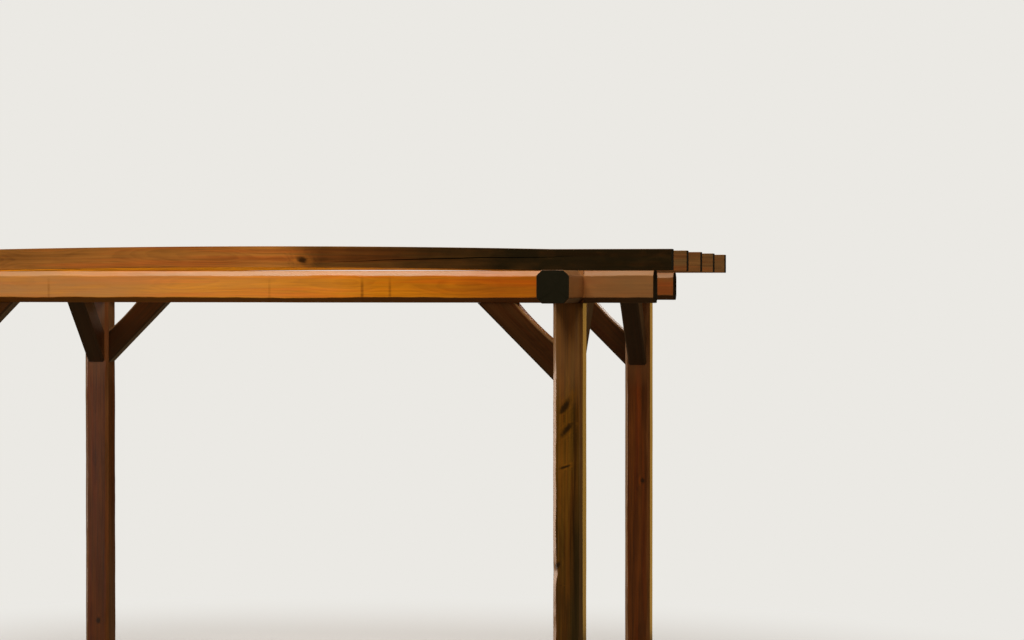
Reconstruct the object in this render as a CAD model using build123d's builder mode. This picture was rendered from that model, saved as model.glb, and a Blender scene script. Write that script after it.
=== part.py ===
from build123d import *
import os

# A timber pergola: four chamfered posts carry a ring of four beams that cross each other in
# half laps and run on past the posts. Curved knee braces stiffen every corner both ways, and
# rafters lie across the two side beams, crown upwards. All lengths are in millimetres. The
# origin is on the ground at the middle of the plan, X runs along the front, -Y is the front
# and Z is up.

# Plan and height
post_spacing_x = 3140.0     # between post centres along the front
post_spacing_y = 2400.0     # between post centres from front to back
clear_height = 2200.0       # from the ground to the underside of the beams

# Posts
post_size = 140.0
post_chamfer = 16.0

# Beams
beam_width = 150.0
beam_depth = 150.0
beam_chamfer = 25.0
front_overhang = 400.0      # front beam, past the post centres
back_overhang = 200.0       # back beam, past the post centres
side_overhang = 480.0       # side beams, past the post centres

# Rafters
rafter_width = 80.0
rafter_depth = 100.0
rafter_overhang = 480.0     # past the post centres
rafter_crown = 17.0         # how far a rafter bows up between the side beams
rafter_count = 5

# Knee braces
brace_reach = 360.0         # outer edge, from the corner along the beam and down the post
brace_width = 130.0         # across the brace, in its own plane
brace_thickness = 100.0
brace_hollow = 6.0          # how far the inner edge is cut away from a straight line
brace_chamfer = 8.0

# Places that follow from the sizes above
post_x = post_spacing_x / 2
post_y = post_spacing_y / 2
beam_middle = clear_height + beam_depth / 2
beam_top = clear_height + beam_depth
front_beam_length = post_spacing_x + 2 * front_overhang
back_beam_length = post_spacing_x + 2 * back_overhang
side_beam_length = post_spacing_y + 2 * side_overhang
rafter_end = post_x + rafter_overhang
rafter_span_end = post_x - beam_width / 2
rafter_spacing = post_spacing_y / (rafter_count - 1)
post_face = post_size / 2

# Which half of its depth a beam keeps at a lap, seen from the middle of its section
lower_half = (Align.CENTER, Align.CENTER, Align.MAX)
upper_half = (Align.CENTER, Align.CENTER, Align.MIN)

os.makedirs("parts", exist_ok=True)


def save(piece, name):
    """Label a finished piece and write it to its own file."""
    piece.part.label = name
    export_step(piece.part, f"parts/{name}.step")


def plane_across_x(y, z):
    """The plane across a timber that runs along X, with its origin on the timber's line."""
    return Plane(origin=(0, y, z), x_dir=(0, 1, 0), z_dir=(1, 0, 0))


def plane_across_y(x, z):
    """The plane across a timber that runs along Y, with its origin on the timber's line."""
    return Plane(origin=(x, 0, z), x_dir=(1, 0, 0), z_dir=(0, -1, 0))


def make_post(name, x, y):
    """A square post, its four arrises chamfered, under one crossing of the beams."""
    with BuildPart() as post:
        with BuildSketch(Plane(origin=(x, y, 0))) as section:
            Rectangle(post_size, post_size)
            chamfer(section.vertices(), length=post_chamfer)
        extrude(amount=clear_height)
    save(post, name)


def make_beam(name, plane, length, crossings, kept_half, cut_half):
    """A chamfered beam, halved where the other beams cross it.

    The chamfers stop square at each crossing, so that the lap fills the whole corner.
    """
    with BuildPart() as beam:
        with BuildSketch(plane) as section:
            Rectangle(beam_width, beam_depth)
            chamfer(section.vertices(), length=beam_chamfer)
        extrude(amount=length / 2, both=True)
        with Locations(*crossings):
            Box(beam_width, beam_width, beam_depth / 2, align=kept_half)
            Box(beam_width, beam_width, beam_depth / 2, align=cut_half, mode=Mode.SUBTRACT)
    save(beam, name)


def make_rafter(name, y):
    """A sharp-edged rafter, flat where it lies on the side beams and bowed up between them."""
    top = rafter_depth
    with BuildPart() as rafter:
        with BuildSketch(Plane(origin=(0, y, beam_top), x_dir=(1, 0, 0), z_dir=(0, -1, 0))):
            with BuildLine():
                Polyline((rafter_span_end, 0), (rafter_end, 0), (rafter_end, top), (rafter_span_end, top))
                ThreePointArc((rafter_span_end, top), (0, top + rafter_crown), (-rafter_span_end, top))
                Polyline((-rafter_span_end, top), (-rafter_end, top), (-rafter_end, 0), (-rafter_span_end, 0))
                ThreePointArc((-rafter_span_end, 0), (0, rafter_crown), (rafter_span_end, 0))
            make_face()
        extrude(amount=rafter_width / 2, both=True)
    save(rafter, name)


def make_brace(name, corner, along_beam):
    """A knee brace between a post's face and the underside of a beam.

    The corner is where the two faces meet, and along_beam points away from the post.
    """
    inner_reach = brace_reach - brace_width * 2 ** 0.5
    hollow_middle = inner_reach / 2 + brace_hollow / 2 ** 0.5
    side = Vector(along_beam).cross(Vector(0, 0, 1))
    with BuildPart() as brace:
        with BuildSketch(Plane(origin=corner, x_dir=along_beam, z_dir=side)):
            with BuildLine():
                Polyline((inner_reach, 0), (brace_reach, 0), (0, -brace_reach), (0, -inner_reach))
                ThreePointArc((0, -inner_reach), (hollow_middle, -hollow_middle), (inner_reach, 0))
            make_face()
        extrude(amount=brace_thickness / 2, both=True)
        end_edges = brace.edges().filter_by(Plane.XY) + brace.edges().filter_by(Axis.Z)
        chamfer(brace.edges() - end_edges, length=brace_chamfer)
    save(brace, name)


corners = {
    "front_right": (post_x, -post_y),
    "front_left": (-post_x, -post_y),
    "back_right": (post_x, post_y),
    "back_left": (-post_x, post_y),
}

# Posts
for place, (x, y) in corners.items():
    make_post(f"post_{place}", x, y)

# Front and back beams, which keep their lower half at the laps
for name, y, length in (("beam_front", -post_y, front_beam_length), ("beam_back", post_y, back_beam_length)):
    crossings = [(x, y, beam_middle) for x in (-post_x, post_x)]
    plane = plane_across_x(y, beam_middle)
    make_beam(name, plane, length, crossings, lower_half, upper_half)

# Side beams, which keep their upper half at the laps and drop over the other two
for name, x in (("beam_right", post_x), ("beam_left", -post_x)):
    crossings = [(x, y, beam_middle) for y in (-post_y, post_y)]
    plane = plane_across_y(x, beam_middle)
    make_beam(name, plane, side_beam_length, crossings, upper_half, lower_half)

# Rafters, the first over the front beam and the last over the back beam
for index in range(rafter_count):
    make_rafter(f"rafter_{index + 1}", -post_y + index * rafter_spacing)

# Knee braces, one under each beam at each post
for place, (x, y) in corners.items():
    inward_x = -1 if x > 0 else 1
    inward_y = -1 if y > 0 else 1
    make_brace(f"brace_{place}", (x + inward_x * post_face, y, clear_height), (inward_x, 0, 0))
    make_brace(f"side_brace_{place}", (x, y + inward_y * post_face, clear_height), (0, inward_y, 0))
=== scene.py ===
"""A timber pergola in stained softwood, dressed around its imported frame.

Every timber is a mesh of rings along its length, so that its planed faces, hand-cut chamfers,
drying cracks, knots and drip marks are where the wood has them. Lengths are in metres.
"""
import math
from dataclasses import dataclass
from functools import partial

import bpy
import bmesh
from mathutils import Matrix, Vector, noise


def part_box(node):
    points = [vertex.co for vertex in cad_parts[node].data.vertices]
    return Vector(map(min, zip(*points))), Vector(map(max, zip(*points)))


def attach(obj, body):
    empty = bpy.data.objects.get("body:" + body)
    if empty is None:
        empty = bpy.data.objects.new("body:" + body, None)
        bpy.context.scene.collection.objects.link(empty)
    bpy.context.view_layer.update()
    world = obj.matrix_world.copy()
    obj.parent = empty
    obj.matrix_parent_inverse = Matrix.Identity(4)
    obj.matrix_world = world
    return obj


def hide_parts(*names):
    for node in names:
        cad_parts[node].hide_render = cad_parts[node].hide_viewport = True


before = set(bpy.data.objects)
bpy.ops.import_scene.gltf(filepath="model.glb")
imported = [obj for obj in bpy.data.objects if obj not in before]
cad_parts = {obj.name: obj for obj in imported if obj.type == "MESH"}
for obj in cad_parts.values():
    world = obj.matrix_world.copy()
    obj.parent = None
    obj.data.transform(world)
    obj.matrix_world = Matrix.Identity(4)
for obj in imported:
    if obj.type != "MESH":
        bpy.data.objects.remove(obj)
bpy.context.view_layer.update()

bl_info = {
    "name": "Garden pergola",
    "version": (1, 0, 0),
    "blender": (4, 5, 0),
    "location": "View3D > Sidebar > Pergola",
    "description": "Stained softwood posts, beams, rafters and knee braces of a garden pergola",
    "category": "Object",
}

CORNERS = ("front_right", "front_left", "back_right", "back_left")
BEAMS = ("beam_front", "beam_back", "beam_right", "beam_left")
RAFTERS = sorted(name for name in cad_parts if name.startswith("rafter_"))
BRACES = tuple(
    (f"{kind}_{corner}", f"post_{corner}") for corner in CORNERS for kind in ("brace", "side_brace"))

# The seed of each kind's first timber; the others count on from it
POST_SEED, BEAM_SEED, RAFTER_SEED, BRACE_SEED = 1, 11, 21, 31
SCREW_SEED = 4

WAYS = (Vector((1, 0, 0)), Vector((0, 1, 0)))
UP = Vector((0, 0, 1))

# A timber's four sides; corner number n is between side n and the next side
BOTTOM, RIGHT, TOP, LEFT = range(4)
SIDE_NORMALS = ((0, -1), (1, 0), (0, 1), (-1, 0))
CORNER_SIGNS = ((1, -1), (1, 1), (-1, 1), (-1, -1))

# Where a ring has points: on a planed side from -1 to 1, and on a chamfer from 0 to 1
SIDE_EDGES = (-1.0, -0.96, 0.96, 1.0)
SIDE_MIDDLES = (-0.6, -0.2, 0.2, 0.6)
CHAMFER_SHARES = (0.06, 0.14, 0.5, 0.86, 0.94)
CRACK_ROOM = 0.011  # kept free of other points beside a crack

# Where a timber has rings, besides those at even steps
END_STEP = 0.002    # from a sawn end to the next ring
KNOT_RINGS = [0.01 * step for step in range(-6, 7)]
DRIP_AND_SHADOW_CORE = 0.003   # half the width of the dark middle of drip marks and painted twig shadows
DRIP_AND_SHADOW_EDGE = 0.010   # where its soft edge ends
DRIP_AND_SHADOW_REACH = 1.1 * DRIP_AND_SHADOW_CORE    # takes in the rings at its middle
DRIP_AND_SHADOW_FADE = (0.9, -0.2)         # up a side, in half depths, where it starts and is whole
BRACE_RINGS = 24
MERGE_WITHIN = 0.00005          # points nearer than this are one
SLIVER = 0.00002                # edges shorter than this are closed
SHARP_OVER = math.radians(32)   # between two faces, from where their arris is crisp

# How the wood grew
GOLDEN_ANGLE = 2.399        # puts each timber's pith on another side of its middle
PITH_ASIDE = 0.022          # from the middle of the section to the pith
TREE_STEP = 3.17            # along the tree, from one timber to the next
SHADE_SPREAD = 0.55         # of a half width, over which the painted shade on one side sets in
FAR_KNOT = (1.0, 1.0, 0.0)  # stands for no knot near
KNOT_REACH = 0.2            # along a timber, beyond which a knot is left out
KNOT_FADE = (0.18, 0.12)    # along a timber, where it has gone and where it is whole
KNOT_DEPTH = (0.0, 0.03)    # from the middle outwards, where its branch starts and is whole
KNOT_APART = (0.02, 0.035)  # how much nearer than the next knot it is, to start and to be whole
OPEN_CRACK = 0.2            # how open a crack is where its bottom takes the dark end-grain colour, a painted shade in the groove
BRACE_TREE_STEP = 2.71      # along the tree, from one brace to the next
BRACE_PITH = (0.6, 0.3)     # from the outer edge, of the width; from the middle, of the half thickness
BRACE_KNOT = 0.008          # radius of the knot in every second brace
BRACE_KNOT_FADE = (0.15, 0.1)   # along a brace, where it has gone and where it is whole

# How the tools wandered: steps in the noise from one timber, corner or side to the next, wavelengths
# and heights
SEED_STEP = 7.31
CORNER_STEP = 5.3
SIDE_STEP = 3.7
SLOW_WAVE = 0.22
QUICK_WAVE = 0.06
QUICK_SHARE = 0.35          # of the slow wave's height
PLANE_WAVE = 0.35
PLANE_SUNK = 0.6            # of the waver, so that a planed side hardly passes its flat
CRACK_WAVE = 0.16
CRACK_WANDER = 0.005
BRACE_CUT_WAVER = 0.0015    # of the width of a brace's chamfer
BRACE_ROUNDING = 0.002      # beside it
RAGGED, RAGGED_WAVER = 0.6, 0.5     # of a sawn end's break
END_CALM = 0.03             # from a sawn end, where nothing wavers, to where all of it does
LAP_CALM = 0.06             # from a lap, the same

# What the stain's material reads at every point: the place in the tree, along it and across from
# the pith; how far the nearest knot is, along and aside, and its radius; how dark the stain and the
# painted shade are, up to 1, and the olive-green painted shade above that; how pale it is with
# weathering and painted light above 0, or how dark with painted shade under an edge below 0; end
# grain, and painted shade at the bottom of open cracks; drip marks, and painted twig shadows
MARKS = ("grain", "knot", "tone", "wear", "sawn", "drip_and_shadow")

# Patterns in the wood, as features a metre along the grain and across it
STREAK = (1.3, 36, 36)          # 770 x 28 mm: strokes of the brush
NARROW_STREAK = (2.4, 110, 110)  # 420 x 9 mm: lines in one stroke
FIBRE = (6, 430, 430)           # 170 x 2.3 mm; real fibres, 0.04 mm wide, are too fine to show
BLOTCH = (5, 9, 9)              # 200 x 110 mm: more or less stain
WORN_PATCH = (3, 20, 20)        # 330 x 50 mm: weathering of a chamfer
KNOT_EDGE = (60, 110, 110)      # 17 x 9 mm: a knot's ragged edge
RING_WARP = (2.2, 26, 26)       # 450 x 38 mm: uneven growth
RING_WARPED = 0.012             # how far that moves a ring
RING_BULGE = 0.02               # how far a knot moves it
PITH_WANDER = (1.1, 0, 0)       # 900 mm along
PITH_DRIFT = (0, 0.09, 0.09)    # how far that moves the pith, from side to side
RING_WIDTH = 0.006              # the wide end of what fast-grown softwood has, so that it shows
END_RAYS = 3.2                  # a radian, which is 20 round an end
FINE_RELIEF = 0.001             # height of the rings, fibres and knots in the bump
ZINC_CLOUD = (900, 900, 900)    # 1.1 mm

# What each state of the wood makes of the stain's own tone
PALE_TINT = (1.32, 1.32, 1.26)      # early wood and thin stain
DEEP_TINT = (0.46, 0.42, 0.40)      # late wood and thick stain
RED_TINT = (1.12, 0.84, 0.74)       # reddish strokes
PAINTED_UNDER_SHADE_TINT = (0.22, 0.22, 0.22)    # painted shade under a timber's lower edges
DRIP_AND_SHADOW_TINT = (0.3, 0.26, 0.3)        # a run down its side, and a painted twig shadow
RESIN_TINT = (1.9, 1.6, 1.1)        # round a knot

# Kinds of node that the materials use most, and their settings
MATH = "ShaderNodeMath"
VECTOR_MATH = "ShaderNodeVectorMath"
RANGE = "ShaderNodeMapRange"
MIX = "ShaderNodeMix"
SMOOTH = {"interpolation_type": "SMOOTHSTEP"}
COLOUR = {"data_type": "RGBA"}
TINT = {"data_type": "RGBA", "blend_type": "MULTIPLY"}

# Screws
HEAD_SUNK = 0.0007              # how far a head is let into the wood
HEAD_SIDES = 20
RAFTER_SCREWS = (-0.03, 0.03)   # along a rafter, from the side beam's middle
RAFTER_SKEW = 0.4               # across it, as a share of that
BRACE_SCREWS = tuple((along, aside) for along in (-0.19, 0.19) for aside in (-0.02, 0.02))

# The lamps: name, place, target, size, radiance, colour, which reflections they light, and the one
# kind of wood that they light. What the last four light is the front beam's upper chamfer, the front
# posts' left chamfers, the posts' right faces and the braces' inner edges.
LIGHT = ("diffuse",)
SHEEN = ("glossy",)
LAMPS = (
    ("over_box", (0.5, 0.6, 7.5), (0.5, 0.2, 2.3), (11.0, 6.0), 0.9, "#fff4ea", LIGHT + SHEEN, None),
    ("front_fill", (1.0, -7.2, 8.6), (0, -1.2, 2.0), (6.0, 4.0), 14.5, "#fff7ee", LIGHT, None),
    ("front_low", (-4.5, -8.5, 3.4), (0.5, -1.2, 1.9), (4.0, 3.0), 1.4, "#fff2dc", LIGHT, None),
    ("back_fill", (-1.0, 7.5, 7.5), (0, 1.2, 1.6), (6.0, 4.0), 7.0, "#fff7ee", LIGHT, None),
    ("left_fill", (-8.0, 1.0, 5.5), (0, 0, 1.5), (4.0, 3.0), 3.0, "#fff4e6", LIGHT, None),
    ("right_fill", (8.0, -0.6, 5.5), (0, -0.4, 1.5), (4.0, 3.0), 2.4, "#ffecc8", LIGHT, None),
    ("chamfer_sheen", (-0.7, -1.5, 7.0), (-0.7, -1.45, 2.3), (2.4, 1.6), 2.95, "#fff0f0", SHEEN, "beam_wood"),
    ("left_sheen", (-4.4, -0.5, 1.56), (0, -0.55, 1.55), (2.4, 3.1), 4.6, "#ffe9da", SHEEN, "post_wood"),
    ("rear_sheen", (2.7, 3.4, 1.12), (1.9, 0, 1.12), (2.4, 2.2), 0.62, "#ffc254", SHEEN, "post_wood"),
    ("brace_sheen", (1.3, 7.0, 3.9), (1.4, 0, 2.0), (2.6, 1.6), 2.4, "#fff0e6", SHEEN, "brace_wood"),
)
FLOOR_REACH = 60.0              # from the middle of the floor to its edge
FLOOR_FADE = (2.6, 5.5)         # from the middle, where the floor starts to fade and has faded
AIR_STRENGTH = 0.12


def linear(code):
    """The linear colour of an sRGB hex value."""
    parts = [int(code[i:i + 2], 16) / 255 for i in (1, 3, 5)]
    return tuple(c / 12.92 if c <= 0.04045 else ((c + 0.055) / 1.055) ** 2.4 for c in parts)


def colour_property(name, description, code):
    """A colour that the panel shows, with its default given as sRGB hex."""
    return bpy.props.FloatVectorProperty(
        name=name, description=description, subtype="COLOR", size=3, min=0, max=1, default=linear(code))


def length_property(name, description, metres):
    """A length that the panel shows, in metres."""
    return bpy.props.FloatProperty(
        name=name, description=description, unit="LENGTH", subtype="DISTANCE", precision=4, default=metres)


def angle_property(name, description, degrees):
    """An angle that the panel shows in degrees."""
    return bpy.props.FloatProperty(
        name=name, description=description, unit="ROTATION", subtype="ANGLE", default=math.radians(degrees))


class PergolaTimber(bpy.types.PropertyGroup):
    """How the timbers were sawn, planed and chamfered."""

    ring_spacing: length_property("Ring spacing", "Distance between the mesh rings along a timber", 0.02)
    post_chamfer: length_property("Post chamfer", "Width taken off the posts' arrises", 0.016)
    beam_chamfer: length_property("Beam chamfer", "Width taken off the beams' arrises", 0.025)
    brace_chamfer: length_property("Brace chamfer", "Width taken off the braces' arrises", 0.008)
    brace_width: length_property("Brace width", "Width of a brace in its own plane", 0.130)
    brace_hollow: length_property("Brace hollow", "How far a brace's inner edge is cut away in an arc", 0.006)
    rafter_crown: length_property("Rafter crown", "How far a rafter bows up between the side beams", 0.017)
    rafter_arris: length_property("Rafter arris", "Width worn off the rafters' sharp arrises", 0.001)
    arris: length_property("Rounded arris", "Leg of the small rounding where two planed faces meet", 0.0012)
    plane_waver: length_property("Plane waver", "How much a planed face rises and falls", 0.0007)
    chamfer_waver: length_property("Chamfer waver", "How much a hand-cut chamfer's width changes", 0.0045)
    end_break: length_property("End break", "How ragged the edge of a sawn end is", 0.003)


class PergolaStain(bpy.types.PropertyGroup):
    """The colours of the stain on each kind of timber, with painted light and shade in some of them."""

    beam_light: colour_property("Beam, light", "Honey orange where the stain lies thin", "#d28610")
    # Also the dark end of the painted shade along the front beam and the rafters' far ends
    beam_dark: colour_property("Beam, dark", "Deep orange-brown where it lies thick", "#8a460a")
    # The front posts' stain, darkened with painted shade
    post_light: colour_property("Post, light", "Raw brown of the front posts", "#744d10")
    post_dark: colour_property("Post, dark", "Dark parts of the front posts", "#271d08")
    # The back posts' stain, darkened with painted shade
    back_light: colour_property("Back post, light", "Redder brown of the back posts", "#763f11")
    back_dark: colour_property("Back post, dark", "Dark red-brown", "#3a1c07")
    # The first rafter's lighter stain, darker than the beams' honey by painted shade
    rafter_light: colour_property("Rafter, light", "Rafters where the stain has bleached", "#a46a2b")
    # Near black: painted shade where the first rafter lies deepest in it
    rafter_painted_shade: colour_property("Rafter, dark", "Rafters where the stain is thick", "#161207")
    # The braces' stain, darkened with painted shade
    brace_light: colour_property("Brace, light", "Red-brown of the knee braces", "#3e230e")
    brace_dark: colour_property("Brace, dark", "Dark parts of the braces", "#211207")
    # End grain: dark with soaked-in stain, and darker still with painted shade
    end_light: colour_property("End grain, light", "Early wood on a sawn end, soaked with stain", "#1d1c12")
    end_dark: colour_property("End grain, dark", "Late wood on a sawn end, soaked with stain", "#0b0b07")
    # Pale tan for weathering, also used as painted light and shade on faces and chamfers
    weathered_and_painted_light: colour_property("Weathered", "Tan wood where rain has thinned the stain", "#9d754a")
    knot: colour_property("Knot", "The heart of a knot", "#160c04")
    # Painted shade: the olive-green cast of shade on the far ends of the timbers
    painted_green_shade: colour_property("Damp", "Olive-grey film where the timber stays damp", "#4d4930")


class PergolaScrews(bpy.types.PropertyGroup):
    """The screws that hold the rafters and the braces."""

    head_radius: length_property("Head radius", "Radius of a countersunk screw's head", 0.006)
    head_height: length_property("Head height", "Thickness of the head's rim", 0.0012)
    drive_radius: length_property("Drive radius", "Radius of the hexagonal recess", 0.0024)
    steel: colour_property("Steel", "Yellow-passivated zinc, dulled outdoors", "#8f8263")


class PergolaStage(bpy.types.PropertyGroup):
    """The floor, the backdrop and the camera."""

    floor: colour_property("Floor", "Plain pale floor", "#c9cdd0")
    bounce: colour_property("Bounce", "Dim colour that the floor shows to the timbers alone", "#5a4a34")
    backdrop: colour_property("Backdrop", "Plain pale background", "#ebe9e4")
    air: colour_property("Air", "Faint warm light from all around", "#e0a868")
    lens: bpy.props.FloatProperty(
        name="Lens", description="Focal length", subtype="DISTANCE_CAMERA", default=90.8)
    yaw: angle_property("Yaw", "Turn of the camera to the left", 10.5)
    pitch: angle_property("Pitch", "Tilt of the camera down", 0.79)
    distance: length_property("Distance", "From the camera to the front right post", 12.0)
    aside: length_property("Aside", "How far right of the picture's middle that post is", 0.269)
    above_beam: length_property("Above the beam", "The camera's height over the front beam's middle", 0.011)


def settings(group):
    """One of the scene's property groups."""
    return getattr(bpy.context.scene, f"pergola_{group}")


def cad_centre(node):
    """The middle of a CAD node's box."""
    low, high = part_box(node)
    return (low + high) / 2


def between(stops, along):
    """The value at a place, on straight lines between stops of (place, value)."""
    for (x0, value0), (x1, value1) in zip(stops, stops[1:]):
        if along <= x1:
            return value0 + (value1 - value0) * min(1.0, max(0.0, (along - x0) / (x1 - x0)))
    return stops[-1][1]


def smooth_step(low, high, value):
    """0 below low, 1 above high, and a smooth rise between."""
    share = min(1.0, max(0.0, (value - low) / (high - low)))
    return share * share * (3 - 2 * share)


def waver(seed, along, around, wavelength):
    """Smooth noise from -1 to 1 along a timber, different for each seed and place around it."""
    return noise.noise(Vector((along / wavelength, around, seed * SEED_STEP)))


# What grew in a timber or happened to it

@dataclass
class Knot:
    """A knot on one side of a timber, its oval turned by slant from the timber's length."""

    along: float
    side: int
    aside: float
    radius: float
    slant: float = 0.0
    stretch: float = 1.3


@dataclass
class Check:
    """A drying crack: a narrow groove along one side of a timber."""

    side: int
    share: float
    start: float
    end: float
    width: float = 0.003
    depth: float = 0.016
    drift: float = 0.0

    def opening(self, along):
        """How open the crack is at a place along the timber, from 0 to 1."""
        if not self.start < along < self.end:
            return 0.0
        share = (along - self.start) / (self.end - self.start)
        return math.sin(math.pi * share) ** 0.6


@dataclass
class Dent:
    """A place where a corner was chipped wider than its chamfer."""

    along: float
    corner: int
    reach: float
    size: float


@dataclass
class DripAndShadow:
    """A dark run of stain or rain down a beam's side; on the front beam, a painted twig shadow."""

    along: float
    strength: float


@dataclass
class Timber:
    """One timber: its axes, its section and what is on it."""

    name: str
    origin: Vector
    along: Vector
    across: Vector
    up: Vector
    length: float
    half: tuple
    chamfer: float
    seed: int
    # The tones carry the stain's darkness and painted shade along the timber
    tones: tuple
    # Painted shade across the timber, on one side
    painted_side_shade: float = 0.0
    # Painted light and shade along the timber, as a share of pale tan
    faded: tuple = ((0, 0.0), (1, 0.0))
    knots: tuple = ()
    checks: tuple = ()
    dents: tuple = ()
    drips_and_shadows: tuple = ()
    laps: tuple = ()
    hand_cut: bool = True
    crown: float = 0.0
    span: tuple = (0.0, 1.0)

    def place(self, along, u, v):
        """The point in the pergola's frame for a point in the timber's own axes."""
        middle = sum(self.span) / 2
        share = (along - middle) / (self.span[1] - middle)
        lift = self.crown * max(0.0, 1 - share * share)
        return self.origin + self.along * along + self.across * u + self.up * (v + lift)

    def marks(self, along, u, v):
        """What the stain's material reads at a place, apart from wear, painted light, sawn ends and crack
        shade.
        """
        turn = self.seed * GOLDEN_ANGLE
        pith = (PITH_ASIDE * math.cos(turn), PITH_ASIDE * math.sin(turn))
        # Painted shade across the timber: darker on the side that across points to, lighter if negative
        darker = self.painted_side_shade * smooth_step(0.0, SHADE_SPREAD, u / self.half[0])
        return {
            "grain": (along + self.seed * TREE_STEP, u - pith[0], v - pith[1]),
            "knot": self.knot_at(along, u, v),
            "tone": between(self.tones, along) + darker,
            "drip_and_shadow": self.drip_and_shadow_at(along, v)}

    def knot_at(self, along, u, v):
        """The nearest knot's distance along and aside, in its own turned axes, and its radius."""
        near = sorted(self.knots, key=lambda knot: abs(along - knot.along))[:2]
        if not near or abs(along - near[0].along) > KNOT_REACH:
            return FAR_KNOT
        knot = near[0]
        apart = along - knot.along
        normal = SIDE_NORMALS[knot.side]
        depth = u * normal[0] + v * normal[1]
        aside = v * normal[0] - u * normal[1] - knot.aside
        cos, sin = math.cos(knot.slant), math.sin(knot.slant)
        fade = smooth_step(*KNOT_FADE, abs(apart)) * smooth_step(*KNOT_DEPTH, depth)
        if len(near) > 1:
            fade *= smooth_step(*KNOT_APART, abs(along - near[1].along) - abs(apart))
        return ((apart * cos + aside * sin) / knot.stretch, aside * cos - apart * sin, knot.radius * fade)

    def drip_and_shadow_at(self, along, v):
        """How dark the drip marks and painted twig shadows are at a place; they show most on the lower half
        of the side.
        """
        for drip_and_shadow in self.drips_and_shadows:
            if abs(along - drip_and_shadow.along) < DRIP_AND_SHADOW_REACH:
                return drip_and_shadow.strength * smooth_step(*DRIP_AND_SHADOW_FADE, v / self.half[1])
        return 0.0


# Timber meshes

@dataclass
class Station:
    """One point of every ring: on a side from -1 to 1, or on the corner after it from 0 to 1.

    A crack has three, its edges with part -1 and 1 and its bottom with part 0.
    """

    side: int
    share: float
    corner: bool = False
    crack: Check = None
    part: int = 0


def ring_layout(timber):
    """The stations round a timber."""
    layout = []
    for side in range(4):
        reach = timber.half[0] if side in (BOTTOM, TOP) else timber.half[1]
        cracks = [check for check in timber.checks if check.side == side]
        stations = [Station(side, share) for share in SIDE_EDGES]
        for share in SIDE_MIDDLES:
            if all(abs(share - check.share) > CRACK_ROOM / reach for check in cracks):
                stations.append(Station(side, share))
        for check in cracks:
            stations += [Station(side, check.share, crack=check, part=part) for part in (-1, 0, 1)]
        layout += sorted(stations, key=lambda station: (station.share, station.part))
        layout += [Station(side, share, corner=True) for share in CHAMFER_SHARES]
    return layout


def chamfer_widths(timber, along, calm, values):
    """The width of the chamfer on each corner at one place along a timber."""
    widths = []
    for corner in range(4):
        width = timber.chamfer
        if timber.hand_cut:
            slow = waver(timber.seed, along, corner * CORNER_STEP, SLOW_WAVE)
            quick = waver(timber.seed + 31, along, corner * CORNER_STEP, QUICK_WAVE)
            width += calm * values.chamfer_waver * (slow + QUICK_SHARE * quick)
        for dent in timber.dents:
            if dent.corner == corner:
                width += dent.size * math.exp(-((along - dent.along) / dent.reach) ** 2)
        widths.append(width)
    return widths


def moved_share(timber, station, along, half_side):
    """A station's share of its side after the crack on that side, which wanders, has moved it."""
    share = station.share
    for check in timber.checks:
        if check.side == station.side:
            drift = check.drift * (min(max(along, check.start), check.end) - check.start)
            wander = CRACK_WANDER * waver(timber.seed + 13, along, 1.7, CRACK_WAVE)
            moved = check.share + (drift + wander) / half_side
            if share <= check.share:
                share = -1 + (share + 1) * (moved + 1) / (check.share + 1)
            else:
                share = 1 - (1 - share) * (1 - moved) / (1 - check.share)
    return share


def side_point(timber, station, along, widths, calm, values):
    """A point on a planed side, sunk a little, or down in a crack."""
    side = station.side
    normal = Vector(SIDE_NORMALS[side])
    travel = Vector((-normal.y, normal.x))
    reach, depth = timber.half if side in (BOTTOM, TOP) else timber.half[::-1]
    low = -reach + widths[side - 1] + values.arris
    high = reach - widths[side] - values.arris
    share = moved_share(timber, station, along, (high - low) / 2)
    where = low + (high - low) * (share + 1) / 2
    rise = waver(timber.seed, along, side * SIDE_STEP + station.share, PLANE_WAVE)
    sink = calm * values.plane_waver * (rise - PLANE_SUNK)
    crack = station.crack
    if crack:
        opening = crack.opening(along)
        where += station.part * crack.width / 2 * opening
        if station.part == 0:
            sink -= crack.depth * opening
    return travel * where + normal * (depth + sink)


def corner_point(timber, station, widths, square):
    """A point on the chamfer after a side, or on the square corner where two beams cross."""
    side = station.side
    normal = Vector(SIDE_NORMALS[side])
    following = Vector(SIDE_NORMALS[(side + 1) % 4])
    su, sv = CORNER_SIGNS[side]
    tip = Vector((su * timber.half[0], sv * timber.half[1]))
    start = tip - Vector((-normal.y, normal.x)) * widths[side]
    finish = tip + Vector((-following.y, following.x)) * widths[side]
    if not square:
        return start.lerp(finish, station.share)
    if station.share <= 0.5:
        return start.lerp(tip, station.share * 2)
    return tip.lerp(finish, station.share * 2 - 1)


def ring_points(timber, layout, along, kind, values):
    """The across and up coordinates of one ring's points."""
    calm = smooth_step(0.0, END_CALM, min(along, timber.length - along))
    for centre, reach, _ in timber.laps:
        calm = min(calm, smooth_step(0.0, LAP_CALM, abs(along - centre) - reach))
    widths = chamfer_widths(timber, along, calm, values)
    points = []
    for index, station in enumerate(layout):
        if station.corner:
            point = corner_point(timber, station, widths, kind in ("lower", "upper"))
        else:
            point = side_point(timber, station, along, widths, calm, values)
        if kind == "lower":
            point.y = min(point.y, 0.0)
        if kind == "upper":
            point.y = max(point.y, 0.0)
        if kind == "end":
            ragged = RAGGED + RAGGED_WAVER * waver(timber.seed + 5, index * 0.45, along, 1.0)
            point *= 1 - values.end_break * ragged / max(timber.half)
        points.append(point)
    return points


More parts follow.
